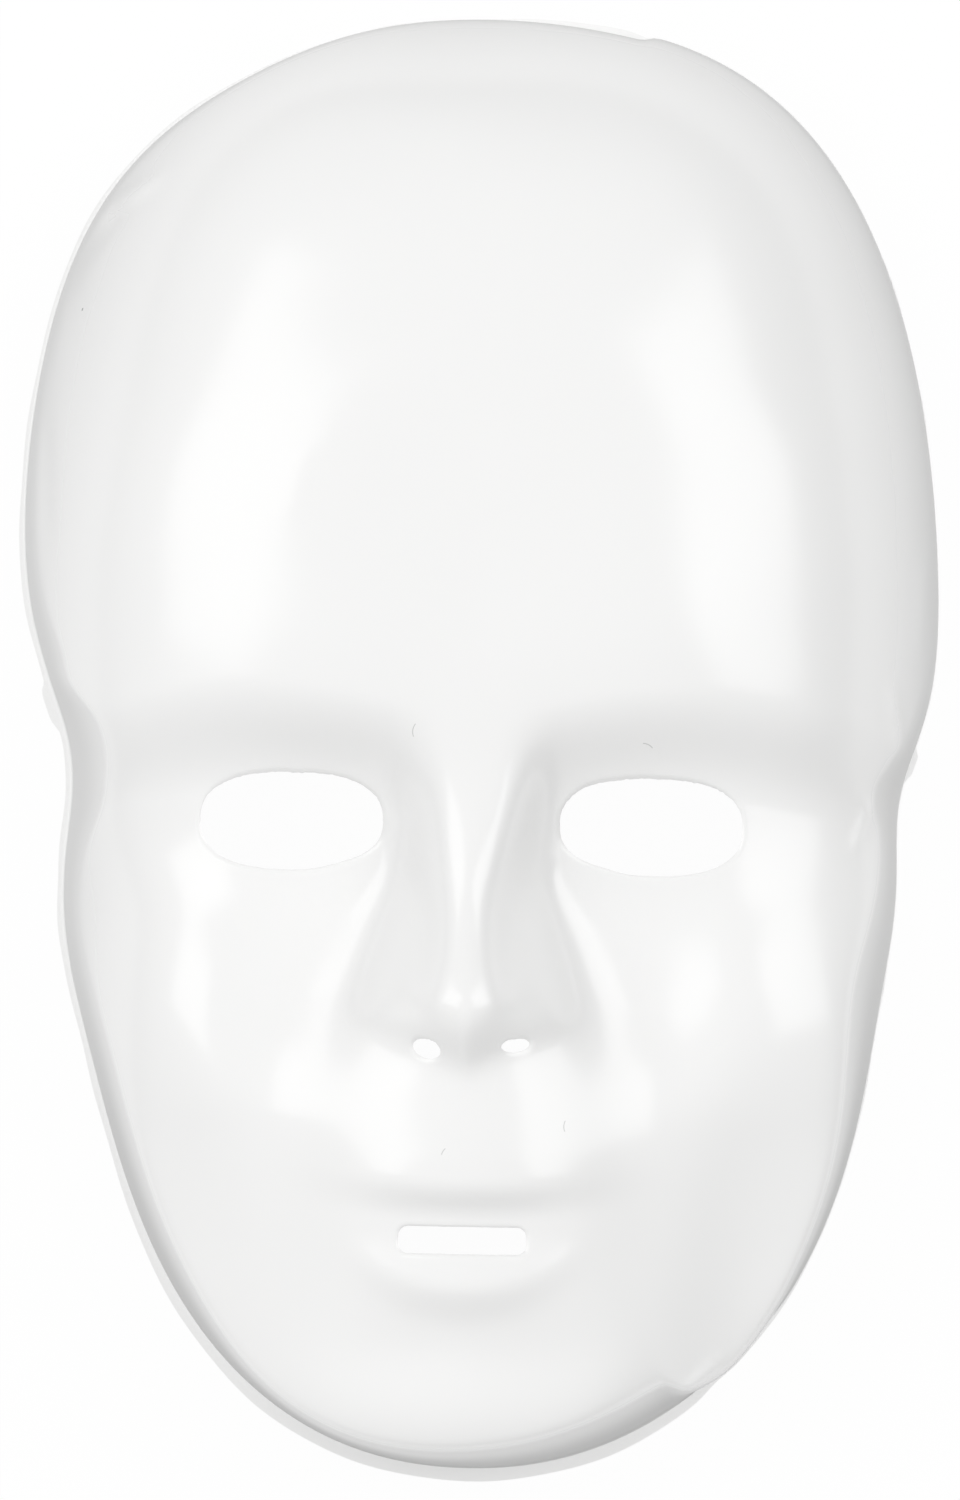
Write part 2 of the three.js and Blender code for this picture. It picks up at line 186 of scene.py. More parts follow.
def wall_height(angle, inwards):
    """The wall's height at a distance inwards from the rim's edge."""
    chin, crown, left = facing(angle)
    right = np.clip(np.cos(angle), 0, 1)
    run = WALL_RUN + MORE_AT_CHIN * chin**2 + MORE_AT_LEFT * left**2
    run = run + MORE_AT_CROWN * crown**2 + MORE_AT_RIGHT * right**2
    for wider, centre, before, after in WALL_PLEATS.values():
        past = degrees_from(angle, centre)
        run = run + wider * bell(past, np.where(past < 0, before, after))
    return SHEET + ramp(inwards - flat_width(angle), rim_bend(angle)) / run


every_way = np.radians([0, 90, 180, 270])
print("flat rim at the right, crown, left and chin:", flat_width(every_way).round(2), "mm")

# %% [markdown]
# Under the features lies a plain dome: an egg shape whose squareness changes from the crown to
# the chin. Everything else is a bump or a hollow on it.

# %% The dome
DOME_TOP, DOME_HALF_WIDTH = 62.0, 81.0
CROWN_REACH, CHIN_REACH = 130.0, 145.0


def dome(x, y):
    power = 2.7 + 1.5 * rise(y, 82, 15) + 0.1 * rise(y, 75, 125)
    half_width = DOME_HALF_WIDTH + np.where(x < 0, -7, 6) * rise(y, 0, -30) + 3 * rise(y, -30, -130)
    across = np.abs(x / half_width) ** power
    lengthwise = np.where(y > 0, np.abs(y / CROWN_REACH) ** 2.85, np.abs(y / CHIN_REACH) ** 5)
    return DOME_TOP * np.sqrt(np.maximum(1 - across - lengthwise, 0.0004))


print("dome over the middle:", round(float(dome(np.array(0.0), np.array(0.0))), 1), "mm")

# %% [markdown]
# The brow and the hollows of the eyes share one arched line, so that they never part. A
# cheekbone is one wide bump. Between it and the nose runs a shallow valley that follows the
# nose's foot, and its near side is what catches the long light streak beside the nose.

# %% Brow, eye hollows and cheekbones
def brow_and_hollows(x, y):
    aside = np.abs(x)
    arched = y + 6.0 * bell(aside - 36, 60) * ((aside - 36) / 30) ** 2
    brow = 3.5 * bell(arched - 16, 19) * plateau(aside, 50)
    below = bell(np.minimum(y + 12, 0), 24 + 22 * bell(aside - 28, 12))
    hollow = 7.5 * rise(aside, 4, 15) * rise(arched, 11, -8) * below
    return brow - hollow


def cheekbones(x, y):
    bones = (3.2 * bell(x + 42, 26) + 1.6 * bell(x - 52, 32)) * bell(y + 44, 20)
    aside = np.abs(x)
    valley_at = 13 + 0.4 * soft_max(-12 - y, 0, 3)
    reach = np.where(aside > valley_at, 18, 11)
    inner = 2.4 * bell(aside - valley_at, reach) * rise(y, -4, -30) * rise(y, -62, -40)
    under = (5 * bell(x + 47, 20) + 8 * bell(x - 50, 20)) * rise(y, -40, -88)
    return bones - inner - under


# %% [markdown]
# The upper lip stands on a broad mound, and the lips on a step that drops sharply to the mouth.
# The lower lip is a wedge cut off by a round drop, with a fold under it and the chin's bump
# below. Each is a line or two, and only the sum looks like a mouth.

# %% Muzzle, lips and chin
def muzzle(x, y):
    reach = 26 + 7 * rise(y, -38, -64)
    return 9.8 * rise(y, -19, -73) * plateau(x, reach, 2.0)


def lips_and_chin(x, y):
    aside = np.abs(x)
    step_at = -75.2 + 0.003 * np.minimum(aside, 34) ** 2
    step = (rise(y, -58, -75) - 2.8 * rise(y, step_at + 3.4, step_at - 3.4)) * plateau(x, 20, 3)
    below = soft_max(-81.3 - y, 0, 0.8)
    wedge = 0.33 * below * (1 - 0.4 * (x / 20.5) ** 2)
    drop = 7.2 * (1 - np.hypot(x / 20.5, (y + 81.3) / 14.5))
    lip = soft_max(soft_min(wedge, drop, 1.0), 0, 1.0)
    fold = 1.4 * bell(y + 102, 7.5) * plateau(x, 22)
    chin = 5.5 * bell(np.maximum(y + 119, 0), 18) * bell(x, 58)
    return step + lip - fold + chin


# %% [markdown]
# The nose is a ridge with sloping sides, and on each side a lower shoulder for its wing. The
# ridge is level at the bridge, climbs to the tip and turns under it. Each of those is a straight
# line seen from the side, and a soft minimum or maximum rounds the corners between them.

# %% Nose
def line(y, at, z, slope):
    return z + slope * (y - at)


def ridge_of_nose(aside, y):
    climb = soft_max(line(y, -1, 64.2, -0.13), line(y, -22, 66.8, -0.5), 3.0)
    ridge = soft_min(climb, line(y, -44, 76.8, 1.05), 3.5) - 0.9 * soft_max(y - 4, 0, 5)
    half = 3.3 + 4.5 * rise(y, -28, 6) + 1.6 * bell(y + 42, 7)
    return ridge - 1.75 * soft_max(aside - half, 0, 2.4)


def wing_of_nose(aside, y):
    shoulder = soft_min(line(y, -43, 71.6, -0.66), line(y, -48, 70, 0.95), 5.0)
    foot = 11.6 + 0.17 * soft_max(-14 - y, 0, 3)
    return shoulder - 0.6 * (aside - 10) - 1.8 * soft_max(aside - foot, 0, 4)


def nose(x, y):
    aside = np.hypot(x + 0.4 - 2 * rise(y, -25, 0), 1)
    return soft_max(ridge_of_nose(aside, y), wing_of_nose(aside, y), 1.8)


# %% [markdown]
# A drawn sheet is never quite smooth. It cools with slow waves in it, and handling leaves short
# creases near the rim. The waves are a few sine waves in directions picked once from a seed, and
# each crease is a thin ridge along a straight line.

# %% Waves and creases
WAVE_COUNT, WAVE_STEEPNESS = 9, 0.0014
chance = np.random.default_rng(7)
wave_turns = chance.uniform(0, 2 * np.pi, WAVE_COUNT)
wave_lengths = chance.uniform(14, 42, WAVE_COUNT)
wave_shifts = chance.uniform(0, 9, WAVE_COUNT)
# Each crease: its middle, its direction in degrees, half length, half width and height
CREASES = {
    "crown, left": (-62.0, 92.5, 32, 7.0, 1.3, 1.2),
    "crown, left, lower": (-65.5, 87.0, 52, 6.0, 1.3, -1.0),
    "crown, left, at the edge": (-69.7, 83.5, 71, 7.0, 2.0, -0.8),
    "right temple": (72.0, 5.0, 100, 7.0, 1.2, 1.1),
    "right brow edge": (76.5, 26.0, 86, 9.0, 1.2, 0.8),
    "right temple, low": (66.5, -12.0, 70, 4.0, 1.0, 0.8),
    "left temple": (-73.5, 44.0, 92, 11.0, 1.3, -0.9),
    "left temple, high": (-72.0, 72.0, 82, 8.0, 1.3, 0.4),
    "left cheek": (-69.5, -6.5, 84, 9.0, 1.2, 0.9),
    "right jaw": (40.0, -105.5, 42, 5.0, 1.0, 0.5),
    "right eye corner": (12.6, -19.6, 62, 2.4, 0.7, 0.35),
    "left eye corner": (-13.2, -13.5, 70, 2.8, 0.7, 0.3),
    "forehead, left": (-30.5, 44.0, 84, 6.0, 2.6, 0.09),
    "forehead, left, end": (-27.0, 50.0, 30, 4.0, 2.4, 0.07),
}


def sheet_faults(x, y):
    total = 0
    for turn, length, shift in zip(wave_turns, wave_lengths, wave_shifts):
        along = x * np.cos(turn) + y * np.sin(turn)
        total = total + WAVE_STEEPNESS * length * np.sin(2 * np.pi * along / length + shift)
    for middle_x, middle_y, turn, half_length, half_width, height in CREASES.values():
        c, s = math.cos(math.radians(turn)), math.sin(math.radians(turn))
        along_it = (x - middle_x) * c + (y - middle_y) * s
        beside_it = (y - middle_y) * c - (x - middle_x) * s
        total = total + height * plateau(along_it, half_length) * bell(beside_it, half_width)
    return total


print("waves:", WAVE_COUNT, "creases:", len(CREASES))

# %% [markdown]
# All of it comes together here. The nose grows out of the face with a soft maximum, and the face
# is cut off at the wall with a soft minimum, which rounds the edge between them as the sheet did
# on the block. The edge is rounder at the jaw, and crisper at the lower left.

# %% The whole face over the wall
NOSE_FILLET = 3.2
EDGE_ROUNDING, ROUNDER_JAW, FULL_ROUNDING_AT = 3, 3, 8


def face_height(x, y):
    plain = dome(x, y) + brow_and_hollows(x, y) + cheekbones(x, y)
    plain = plain + muzzle(x, y) + lips_and_chin(x, y)
    plain = plain + sheet_faults(x, y)
    return soft_max(plain, nose(x, y), NOSE_FILLET)


def outer_height(x, y):
    angle = np.arctan2(y, x)
    wall = wall_height(angle, rim_radius(angle) - np.hypot(x, y))
    face = face_height(x, y)
    jaw = ROUNDER_JAW * rise(y, 10, -70) * (1 - 0.7 * rise(x, -10, -40))
    rounding = (EDGE_ROUNDING + jaw) * np.clip((wall - SHEET) / FULL_ROUNDING_AT, 0, 1)
    return np.where(face - wall > 30, wall, soft_min(face, wall, rounding))


nose_tip = float(outer_height(np.array(0.3), np.array(-42.0)))
print("height at the tip of the nose:", round(nose_tip, 2), "mm")

# %% [markdown]
# The openings are outlines seen from straight above, as the punch makes them. Each is a closed
# run of points half a millimetre apart, or half that on the small nostrils, so that the cut is
# round. A blunt punch leaves it a little ragged, mostly above, so each point is then moved in or
# out by a seeded amount.

# %% Outlines of the openings
CUT_STEP = 0.5
EYE_HALF_WIDTH, EYE_HALF_HEIGHT, EYE_POWER = 15.4, 8.15, 2.5
EYE_OUT, EYE_DOWN = 30.2, -12.8


def even_steps(loop, step):
    """The same closed line, with its points evenly spread."""
    closed = np.vstack([loop, loop[:1]])
    lengths = np.hypot(*np.diff(closed, axis=0).T)
    run = np.concatenate([[0], np.cumsum(lengths)])
    count = max(12, int(round(run[-1] / step)))
    at = np.linspace(0, run[-1], count, endpoint=False)
    return np.stack([np.interp(at, run, closed[:, 0]), np.interp(at, run, closed[:, 1])], axis=1)


def eye_outline(side):
    """A squared oval, a little flatter at the corner beside the nose."""
    angle = round_about
    across = (np.abs(np.cos(angle)) / EYE_HALF_WIDTH) ** EYE_POWER
    upright = (np.abs(np.sin(angle)) / EYE_HALF_HEIGHT) ** EYE_POWER
    oval = (across + upright) ** (-1 / EYE_POWER)
    corner = -38 if side < 0 else 218
    radius = oval * (1 - 0.07 * bell(degrees_from(angle, corner), 22))
    x, y = side * EYE_OUT + radius * np.cos(angle), EYE_DOWN + radius * np.sin(angle)
    return np.stack([x, y], axis=1)


def nostril_outline(x, y, half_width, half_height, tilt):
    across, upright = half_width * np.cos(round_about), half_height * np.sin(round_about)
    c, s = math.cos(math.radians(tilt)), math.sin(math.radians(tilt))
    return np.stack([x + across * c - upright * s, y + across * s + upright * c], axis=1)


def mouth_outline(x, y, width, height, corner):
    straight = np.array([width / 2 - corner, height / 2 - corner])
    turn = np.stack([np.cos(round_about), np.sin(round_about)], axis=1)
    return np.array([x, y]) + np.sign(turn) * straight + corner * turn


def ragged(loop, amount, seed):
    """The blunt punch tears the sheet a little, mostly on the upper edge."""
    tears = np.random.default_rng(seed)
    fine = tears.normal(size=len(loop))
    slow = np.convolve(np.tile(tears.normal(size=len(loop)), 3), np.ones(7) / 3, "same")
    slow = slow[len(loop):2 * len(loop)]
    out = loop - loop.mean(axis=0)
    upper = 0.35 + 0.65 * rise(out[:, 1], 0, out[:, 1].max())
    return loop + (amount * upper * (0.6 * fine + slow))[:, None] * out / np.hypot(*out.T)[:, None]


def cut(outline_of_it, step, amount, seed):
    return ragged(even_steps(outline_of_it, step), amount, seed)


openings = {
    "left eye": cut(eye_outline(-1), CUT_STEP, 0.07, 3),
    "right eye": cut(eye_outline(1), CUT_STEP, 0.07, 4),
    "left nostril": cut(nostril_outline(-6.7, -50.1, 2.4, 1.55, -20), CUT_STEP / 2, 0.06, 5),
    "right nostril": cut(nostril_outline(8, -49.3, 2.35, 1.1, 8), CUT_STEP / 2, 0.06, 6),
    "mouth": cut(mouth_outline(-0.2, -81.9, 21.3, 4.5, 1.6), CUT_STEP, 0.025, 8),
}
print("points round each opening:", {name: len(loop) for name, loop in openings.items()})

# %% [markdown]
# Now the skin. The wall is so steep that a plain grid seen from above would stretch on it, so
# the rim and the wall are rings that crowd where the height changes fast. Inside the last ring
# lies an even field of points, and a constrained Delaunay triangulation joins it all, with the
# openings' outlines kept as edges. That gives a clean cut and even triangles in one step.

# %% Rings from the rim's edge to the face
SPOKES = 600
spokes = np.linspace(0, 2 * np.pi, SPOKES, endpoint=False)


def at_ring(inwards):
    radius = rim_radius(spokes) - inwards
    return np.stack([radius * np.cos(spokes), radius * np.sin(spokes)], axis=1)


def wall_top():
    """The distance inwards at which the wall reaches the face, found by halving."""
    low = flat_width(spokes)
    high = low + 25
    for _ in range(30):
        middle = (low + high) / 2
        x, y = at_ring(middle).T
        under = wall_height(spokes, middle) < face_height(x, y)
        low, high = np.where(under, middle, low), np.where(under, high, middle)
    return low


foot, bend, top = flat_width(spokes), rim_bend(spokes), wall_top()

# Each lug and nick: how far it goes out or in, its direction and its half width in degrees
LUGS = {"left temple": (1.0, 175.6, 2.7), "right temple": (0.9, -1.2, 1.8)}
NICKS = {"crown": (0.8, 76.2, 2.0), "pleat": (0.5, -68, 1.5)}
TRIMMING = 0.14
lug_out = sum(out * plateau(degrees_from(spokes, at), half, 6) for out, at, half in LUGS.values())
trimmed = np.sin(9 * spokes + 1) + np.sin(23 * spokes) + np.sin(37 * spokes + 2) - 3
trimmed = -TRIMMING * trimmed / 2
for depth, at, half in NICKS.values():
    trimmed = trimmed + depth * bell(degrees_from(spokes, at), half)
# The blade never reaches past the flat rim, so the rings keep their order
edge = -lug_out + np.minimum(trimmed, 0.8 * foot)
ring_places = [edge, (edge + foot * 0.9) / 2, foot * 0.9]
ring_places += [foot + bend * share for share in (0.15, 0.4, 0.7, 1.0)]
climb_start = foot + bend * 1.15
climb_end = np.maximum(top - 0.6, climb_start + 0.1)
ring_places += [climb_start + (climb_end - climb_start) * share for share in np.linspace(0, 1, 13)]
ring_places += [top + past for past in (-0.3, 0.0, 0.3, 0.7, 1.2, 1.9, 2.8)]
rings = [at_ring(place) for place in ring_places]
wall_width = top - foot
print("rings:", len(rings))
print("wall is", wall_width.min().round(2), "to", wall_width.max().round(2), "mm wide")

# %% [markdown]
# The field is rows of points, each shifted by half a step from the last, which gives triangles
# with even sides. It stays clear of the openings, where bands of closer points follow the cut,
# because the sheet turns down there within a third of a millimetre.

# %% Field of points inside the last ring
FIELD_STEP = 1.1
CLEAR_OF_CUTS = 2.3
# Each band: its distance from the cut and the step between its points
BANDS_BY_CUTS = ((0.18, 0.5), (0.45, 0.55), (0.95, 0.75), (1.7, 1.0))


def within(points, loop):
    """Which points lie inside a closed line, by counting crossings."""
    inside = np.zeros(len(points), bool)
    x, y = points.T
    for (x1, y1), (x2, y2) in zip(loop, np.roll(loop, -1, axis=0)):
        if y1 != y2:
            crosses = (y1 > y) != (y2 > y)
            inside ^= crosses & (x < (x2 - x1) * (y - y1) / (y2 - y1) + x1)
    return inside


def grown(loop, by):
    """A closed line moved outwards."""
    along_loop = np.roll(loop, -1, axis=0) - np.roll(loop, 1, axis=0)
    along_loop /= np.hypot(*along_loop.T)[:, None]
    return loop + by * np.stack([along_loop[:, 1], -along_loop[:, 0]], axis=1)


last_ring = rings[-1]
rows = np.arange(-HALF_LENGTH, HALF_LENGTH, FIELD_STEP * math.sqrt(3) / 2)
columns = np.arange(-HALF_WIDTH, HALF_WIDTH, FIELD_STEP)
field = np.array([(x + FIELD_STEP / 2 * (i % 2), y) for i, y in enumerate(rows) for x in columns])
field = field[within(field, grown(last_ring, -FIELD_STEP * 0.6))]
near_cuts = []
for loop in openings.values():
    near_cuts += [even_steps(grown(loop, by), step) for by, step in BANDS_BY_CUTS]
    field = field[~within(field, grown(loop, CLEAR_OF_CUTS))]
near_cuts = np.vstack(near_cuts)
print("field points:", len(field), "and", len(near_cuts), "near the cuts")

# %% [markdown]
# A constrained Delaunay triangulation makes the triangles as even as the points allow and keeps
# the given edges. It fills the openings too, so the triangles inside them are taken out again.

# %% Triangles between them
loops = [last_ring, *openings.values()]
fixed = np.vstack(loops)
edges, first = [], 0
for loop in loops:
    edges += [(first + i, first + (i + 1) % len(loop)) for i in range(len(loop))]
    first += len(loop)
flat_points = np.vstack([fixed, near_cuts, field])
made = geometry.delaunay_2d_cdt([Vector(p) for p in flat_points], edges, [], 1, 1e-5)
skin_xy = np.array([(v.x, v.y) for v in made[0]])
triangles = np.array([face for face in made[2] if len(face) == 3])
middles = skin_xy[triangles].mean(axis=1)
in_opening = np.any([within(middles, loop) for loop in openings.values()], axis=0)
triangles = triangles[~in_opening]
print("triangles of the face:", len(triangles), "of", len(skin_xy), "points")

# %% [markdown]
# The face and the rings share the points of the last ring. The triangulation tells for each of
# its points which given point it came from, and that is enough to number them all in one list.

# %% Join the rings to the face
came_from = np.array([origin[0] if origin else -1 for origin in made[3]])
ring_start = (len(rings) - 1) * SPOKES
place_of = np.full(len(skin_xy), -1)
shared = (came_from >= 0) & (came_from < SPOKES)
place_of[shared] = ring_start + came_from[shared]
used = np.zeros(len(skin_xy), bool)
used[triangles.ravel()] = True
fresh = used & ~shared
place_of[fresh] = ring_start + SPOKES + np.arange(fresh.sum())
sheet_xy = np.vstack([*rings, skin_xy[fresh]])
faces = [place_of[triangles]]
this_spoke, next_spoke = np.arange(SPOKES), (np.arange(SPOKES) + 1) % SPOKES
for ring in range(len(rings) - 1):
    a, b = ring * SPOKES + this_spoke, ring * SPOKES + next_spoke
    c, d = b + SPOKES, a + SPOKES
    faces += [np.stack([a, b, c], axis=1), np.stack([a, c, d], axis=1)]
faces = np.vstack(faces)


def facing_up(points, faces):
    """The same triangles, each turned so that it runs counter-clockwise from above."""
    a, b, c = (points[faces[:, i]] for i in range(3))
    turn = (b[:, 0] - a[:, 0]) * (c[:, 1] - a[:, 1]) - (b[:, 1] - a[:, 1]) * (c[:, 0] - a[:, 0])
    return np.where(turn[:, None] > 0, faces, faces[:, ::-1])


faces = facing_up(sheet_xy, faces)
print("triangles of one skin:", len(faces))

# %% [markdown]
# The sheet's inner side is the outer side moved along its normals by the sheet's thickness. A
# modifier could do that, but here the rim has to stay flat on the table, so the inner points are
# kept from going below it. The strips that join the two sides at the rim's edge and round the
# openings are the cut edges, and they are where a viewer sees that the mask is thin.
#
# The punch drags the sheet down a little at each cut. That rolled edge catches a fine line.

# %% Both sides of the sheet
ROLL_DEPTH, ROLL_REACH = 0.32, 0.3


def nearest(points, loop):
    """The distance from each point to the nearest of a line's points."""
    return np.sqrt(((points[:, None] - loop[None]) ** 2).sum(axis=2)).min(axis=1)


outer = np.column_stack([sheet_xy, outer_height(*sheet_xy.T)])
for loop in openings.values():
    beside = np.flatnonzero(within(sheet_xy, grown(loop, 3)))
    outer[beside, 2] -= ROLL_DEPTH * bell(nearest(sheet_xy[beside], loop), ROLL_REACH)


def point_normals(points, faces):
    a, b, c = (points[faces[:, i]] for i in range(3))
    across = np.cross(b - a, c - a)
    normals = np.zeros_like(points)
    for i in range(3):
        np.add.at(normals, faces[:, i], across)
    return normals / np.linalg.norm(normals, axis=1)[:, None]


inner = outer - SHEET * point_normals(outer, faces)
inner[:, 2] = np.maximum(inner[:, 2], 0)
sides = np.vstack([faces[:, [0, 1]], faces[:, [1, 2]], faces[:, [2, 0]]])
keys = sides.min(axis=1) * len(outer) + sides.max(axis=1)
_, where, counts = np.unique(keys, return_index=True, return_counts=True)
open_edges = sides[where[counts == 1]]
a, b = open_edges.T
down = len(outer)
strips = np.vstack([np.stack([b, a, a + down], axis=1), np.stack([b, a + down, b + down], axis=1)])
sheet_points = np.vstack([outer, inner])
sheet_faces = np.vstack([faces, faces[:, ::-1] + down, strips])
print("the whole sheet:", len(sheet_faces), "triangles,", len(open_edges), "edges on its cuts")

# %% [markdown]
# The points go into one mesh, in metres and with the middle of the outline at the origin. Smooth
# shading suits the sheet, and edges sharper than 50 degrees, which are the cuts, stay crisp.

# %% Mesh of the mask
SHARP_FROM = math.radians(50)
sheet_points[:, :2] -= MIDDLE
mesh = bpy.data.meshes.new("mask")
mesh.from_pydata((sheet_points * MM).tolist(), [], sheet_faces.tolist())
mesh.shade_smooth()
mesh.set_sharp_from_angle(angle=SHARP_FROM)
mask = bpy.data.objects.new("mask", mesh)
bpy.context.scene.collection.objects.link(mask)
mesh.validate(verbose=True)
heights = sheet_points[:, 2]
print("lowest and highest point:", heights.min(), heights.max().round(2), "mm")

# %% [markdown]
# Shader maths reads best as plain expressions, so this small class wraps a socket and lets
# values be added, multiplied and compared. Each operation adds one Math node.

# %% Sockets that can be added and multiplied
class Value:
    """A number socket of a node tree, with arithmetic."""

    def __init__(self, tree, socket):
        self.tree = tree
        self.socket = socket

    def maths(self, operation, *values):
        node = self.tree.nodes.new("ShaderNodeMath")
        node.operation = operation
        for i, value in enumerate(values or (self,)):
            if isinstance(value, Value):
                self.tree.links.new(value.socket, node.inputs[i])
            else:
                node.inputs[i].default_value = value
        return Value(self.tree, node.outputs[0])

    def __add__(self, other):
        return self.maths("ADD", self, other)

    def __sub__(self, other):
        return self.maths("SUBTRACT", self, other)

    def __rsub__(self, other):
        return self.maths("SUBTRACT", other, self)

    def __mul__(self, other):
        return self.maths("MULTIPLY", self, other)

    def __gt__(self, other):
        return self.maths("GREATER_THAN", self, other)

    def __lt__(self, other):
        return self.maths("LESS_THAN", self, other)

    __radd__ = __add__
    __rmul__ = __mul__


class Nodes:
    """A node tree, with a short way to add nodes to it."""

    def __init__(self, tree):
        self.tree = tree

    def put(self, socket, value):
        if isinstance(value, Value):
            self.tree.links.new(value.socket, socket)
        else:
            socket.default_value = value

    def node(self, kind, settings=None, output=0, **sockets):
        made_node = self.tree.nodes.new("ShaderNode" + kind)
        for name, value in (settings or {}).items():
            setattr(made_node, name, value)
        for name, value in sockets.items():
            self.put(made_node.inputs[name.replace("_", " ")], value)
        return Value(self.tree, made_node.outputs[output])


class Finish(Nodes):
    """A material with one principled shader."""

    def __init__(self, name):
        self.material = bpy.data.materials.new(name)
        self.material.use_nodes = True
        super().__init__(self.material.node_tree)

    def set(self, **sockets):
        shader = self.tree.nodes["Principled BSDF"]
        for name, value in sockets.items():
            self.put(shader.inputs[name.replace("_", " ")], value)


# %% [markdown]
# White sheet plastic is glossy where it kept its thickness. Drawn down the steep wall it gets
# thin and duller. Its colour also holds painted shade and painted light: the steep, low part of
# the wall is painted darker as shade, darkest at its foot and towards the chin, and the flat rim
# on the board is painted lighter. So the finish asks two things of each point: how steep it is
# there, and how high up. The faint ripple is a bump of well under a millimetre.

# %% Glossy white plastic
# The sheet's own white, painted shade for the steep wall, more of it towards the chin and less of
# it up the wall, and painted light for the flat rim
WHITE_OF_SHEET, PAINTED_WALL_SHADE, MORE_PAINTED_SHADE_AT_CHIN = 0.84, 0.21, 0.1
PAINTED_RIM_LIGHT, SHADE_FADES_UP_THE_WALL = 0.11, 0.77
DULL, GLOSSIER, UNEVEN_GLOSS = 0.77, 0.6, 0.06
STYRENE_IOR = 1.59
plastic = Finish("white_plastic")
place = plastic.node("TexCoord", output=3)
unevenness = plastic.node("TexNoise", Vector=place, Scale=60.0, Detail=2.0)
ripple = plastic.node("TexNoise", Vector=place, Scale=22.0, Detail=1.0)
bumps = plastic.node("Bump", Height=unevenness + 3 * ripple, Strength=0.15, Distance=0.0002)
facing_out = plastic.node("TexCoord", output=1)
upright = plastic.node("SeparateXYZ", output=2, Vector=facing_out).maths("ABSOLUTE")
smooth = {"interpolation_type": "SMOOTHSTEP"}
lying = plastic.node("MapRange", smooth, Value=upright, From_Min=0.15, From_Max=0.6)
above_board = plastic.node("SeparateXYZ", output=2, Vector=place)
on_the_face = plastic.node("MapRange", smooth, Value=above_board, From_Min=0.035, From_Max=0.058)
level = plastic.node("MapRange", smooth, Value=upright, From_Min=0.1, From_Max=0.92)
# Painted shade goes where the sheet is steep and low, and painted light on the flat rim lying on
# the board
painted_dark = (1 - level) * (1 - on_the_face * lying)
on_the_rim = plastic.node("MapRange", smooth, Value=above_board, From_Min=0.0016, From_Max=0.0008)
up_the_wall = plastic.node("MapRange", smooth, Value=above_board, From_Min=0.01, From_Max=0.06)
along_mask = plastic.node("SeparateXYZ", output=1, Vector=place)
# The painted shade is darker towards the chin and fades up the wall; the sheet's white loses it and
# gains the painted light on the rim
towards_chin = plastic.node("MapRange", smooth, Value=along_mask, From_Min=-0.02, From_Max=-0.09)
painted_shade = (PAINTED_WALL_SHADE + MORE_PAINTED_SHADE_AT_CHIN * towards_chin) * (1 - SHADE_FADES_UP_THE_WALL * up_the_wall)
whiteness = WHITE_OF_SHEET - painted_shade * painted_dark + PAINTED_RIM_LIGHT * on_the_rim * lying
# The sheet's white under the most painted shade
darkest_painted = WHITE_OF_SHEET - PAINTED_WALL_SHADE - MORE_PAINTED_SHADE_AT_CHIN
print("white plastic, where it is drawn most:", round(darkest_painted, 2))

# %% [markdown]
# A few dark specks are in the sheet, and four short fibres lie on it. The specks are the cores
# of random cells, kept only where a second noise allows them, so that they don't come evenly.
# A fibre is a thin band along a slightly bent line at a known place.

# %% Specks and fibres
SPECK_SIZE, SPECK_CHANCE, SPECK_DARKNESS = 0.018, 0.56, 0.55
FIBRE_HALF_WIDTH, FIBRE_BEND, FIBRE_DARKNESS = 0.08 * MM, 250, 0.3
seeds = plastic.node("TexVoronoi", {"feature": "F1"}, Vector=place, Scale=62.0)
chance_of_speck = plastic.node("TexNoise", Vector=place, Scale=31.0, Detail=0.0)
speck = (seeds < SPECK_SIZE) * (chance_of_speck > SPECK_CHANCE)
across_mask = plastic.node("SeparateXYZ", output=0, Vector=place)
# Each fibre: its middle in millimetres, its direction in degrees and half its length
FIBRES = {
    "by the bridge": (-10.5, 3.1, 82, 1.1),
    "under the right brow": (28.9, 1.4, -25, 0.9),
    "under the nose": (-4.1, -66.7, 60, 0.6),
    "on the upper lip": (15.9, -62.3, 88, 0.9),
}
fibres = 0
for middle_x, middle_y, turn, half_length in FIBRES.values():
    c, s = math.cos(math.radians(turn)), math.sin(math.radians(turn))
    from_x, from_y = across_mask - middle_x * MM, along_mask - middle_y * MM
    along_it, beside_it = c * from_x + s * from_y, c * from_y - s * from_x
    off_line = (beside_it + FIBRE_BEND * along_it * along_it).maths("ABSOLUTE")
    off_middle = along_it.maths("ABSOLUTE")
    fibres = (off_middle < half_length * MM) * (off_line < FIBRE_HALF_WIDTH) + fibres
whiteness = whiteness * (1 - SPECK_DARKNESS * speck) * (1 - FIBRE_DARKNESS * fibres)
print("fibres:", ", ".join(FIBRES))

# %% [markdown]
# The white of the sheet is a touch warm, and a little less blue is enough for that. One principled
# shader takes the colour, the gloss and the ripple, so nothing has to be mixed. The mask stands
# for the plain solid sheet, and lies where that lies.

# %% Put the finish on the mask
LESS_BLUE = 0.995
white = plastic.node("CombineColor", Red=whiteness, Green=whiteness, Blue=LESS_BLUE * whiteness)
roughness = DULL - GLOSSIER * lying + UNEVEN_GLOSS * unevenness
plastic.set(Base_Color=white, Roughness=roughness, Normal=bumps, IOR=STYRENE_IOR)
mesh.materials.append(plastic.material)
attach(mask, "root")
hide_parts("mask_shell")
print("nodes in the plastic:", len(plastic.tree.nodes))

# %% [markdown]
# The photo has a white ground with hardly a shadow. A lit table gives that: a plain board that
# glows almost white and reflects next to nothing, so that no shadow shows on it.

